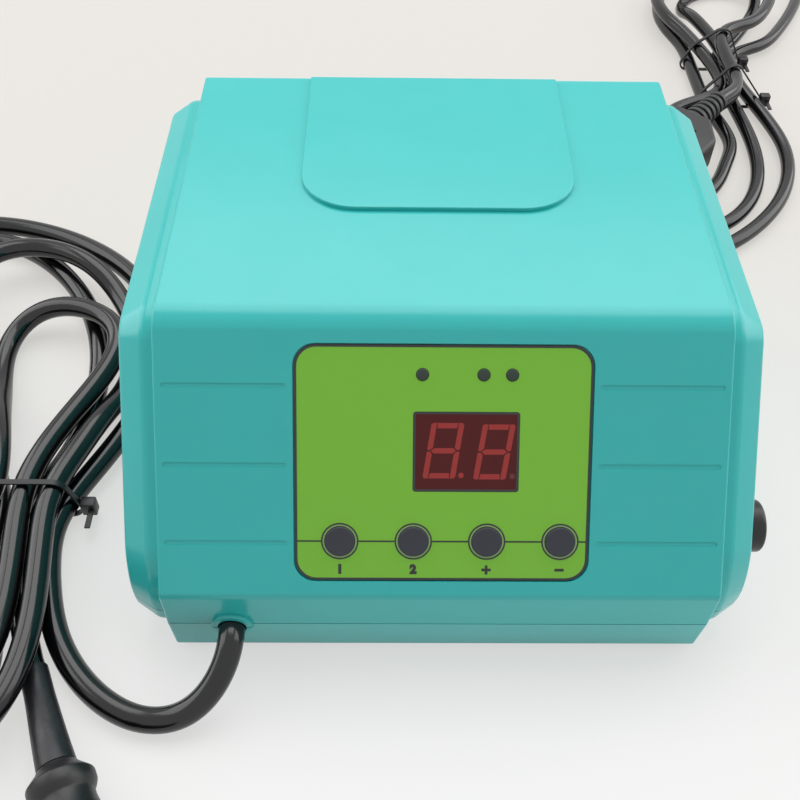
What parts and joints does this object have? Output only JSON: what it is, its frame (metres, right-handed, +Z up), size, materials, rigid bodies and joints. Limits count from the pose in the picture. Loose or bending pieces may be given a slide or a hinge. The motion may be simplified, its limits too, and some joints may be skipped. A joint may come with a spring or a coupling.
{
  "type": "dental x-ray control box",
  "caption": "Desktop control box with sloped keypad panel and digit display, raised middle band, bevelled end caps, side button, coiled control cord and mains lead.",
  "frame": {"origin": "middle of the footprint of the case with its collar and button, on the surface it stands on", "axes": "+Z up, the sloped control panel faces -Y, the power button is at +X"},
  "size_m": [0.411, 0.4906, 0.0849],
  "materials": {
    "case_plastic": "moulded ABS, satin",
    "foot_rubber": "matt",
    "zinc_steel": "zinc plated",
    "overlay_film": "printed film with a dark border",
    "red_filter": "clear red acrylic",
    "display_module": "resin-filled display",
    "lamp_resin": "diffused resin",
    "key_plastic": "moulded",
    "circuit_board": "solder mask",
    "black_plastic": "moulded",
    "button_plastic": "moulded",
    "ivory_plastic": "moulded",
    "core_steel": "varnished laminations",
    "coil_tape": "polyester tape",
    "black_aluminium": "black anodised",
    "fuse_glass": "clear tube with metal caps",
    "green_plastic": "moulded",
    "grey_cable": "flat cable",
    "cord_pvc": "smooth PVC",
    "heat_shrink": "satin",
    "plug_pvc": "moulded PVC"
  },
  "bodies": {
    "case": {"buzzer": "black_plastic", "case_screw_1": "zinc_steel", "case_screw_2": "zinc_steel", "case_screw_3": "zinc_steel", "case_screw_4": "zinc_steel", "controller_chip": "black_plastic", "cord_clamp_screw": "zinc_steel", "cord_terminal": "ivory_plastic", "digit_display": "display_module", "display_window": "red_filter", "filter_capacitor": "black_plastic", "front_board": "circuit_board", "front_board_screw_1": "zinc_steel", "front_board_screw_2": "zinc_steel", "front_connector": "heat_shrink", "front_cord": "cord_pvc", "front_cord_clamp": "black_plastic", "front_cord_hank": "cord_pvc", "front_cord_sleeve": "heat_shrink", "front_cord_tie": "black_plastic", "front_overlay": "overlay_film", "fuse": "fuse_glass", "fuse_holder": "ivory_plastic", "heatsink": "black_aluminium", "indicator_lamp_1": "lamp_resin", "indicator_lamp_2": "lamp_resin", "indicator_lamp_3": "lamp_resin", "lower_base": "case_plastic", "main_board": "circuit_board", "main_board_screw_1": "zinc_steel", "main_board_screw_2": "zinc_steel", "mains_cord": "cord_pvc", "mains_cord_hank": "cord_pvc", "mains_plug": "plug_pvc", "mains_strain_relief": "cord_pvc", "mains_tie_front": "black_plastic", "mains_tie_rear": "black_plastic", "panel_cable": "grey_cable", "power_switch_body": "ivory_plastic", "power_transistor": "black_plastic", "relay": "ivory_plastic", "rubber_foot_1": "foot_rubber", "rubber_foot_2": "foot_rubber", "rubber_foot_3": "foot_rubber", "rubber_foot_4": "foot_rubber", "tact_switch_1": "black_plastic", "tact_switch_2": "black_plastic", "tact_switch_3": "black_plastic", "tact_switch_4": "black_plastic", "terminal_block": "green_plastic", "transformer_coil": "coil_tape", "transformer_core": "core_steel", "transformer_screw_1": "zinc_steel", "transformer_screw_2": "zinc_steel", "upper_cover": "case_plastic"},
    "key_1": {"key_1": "key_plastic"},
    "key_2": {"key_2": "key_plastic"},
    "key_3": {"key_3": "key_plastic"},
    "key_4": {"key_4": "key_plastic"},
    "power_button": {"power_button": "button_plastic"}
  },
  "joints": [
    {"name": "key_1_press", "type": "slide", "parent": "case", "child": "key_1", "axis": [0, 0.7496, -0.6619], "range_m": [0, 0.0004], "stiffness_N_per_m": 400},
    {"name": "key_2_press", "type": "slide", "parent": "case", "child": "key_2", "axis": [0, 0.7496, -0.6619], "range_m": [0, 0.0004], "stiffness_N_per_m": 400},
    {"name": "key_3_press", "type": "slide", "parent": "case", "child": "key_3", "axis": [0, 0.7496, -0.6619], "range_m": [0, 0.0004], "stiffness_N_per_m": 400},
    {"name": "key_4_press", "type": "slide", "parent": "case", "child": "key_4", "axis": [0, 0.7496, -0.6619], "range_m": [0, 0.0004], "stiffness_N_per_m": 400},
    {"name": "power_button_press", "type": "slide", "parent": "case", "child": "power_button", "axis": [-1, 0, 0], "range_m": [0, 0.0025], "stiffness_N_per_m": 400}
  ]
}
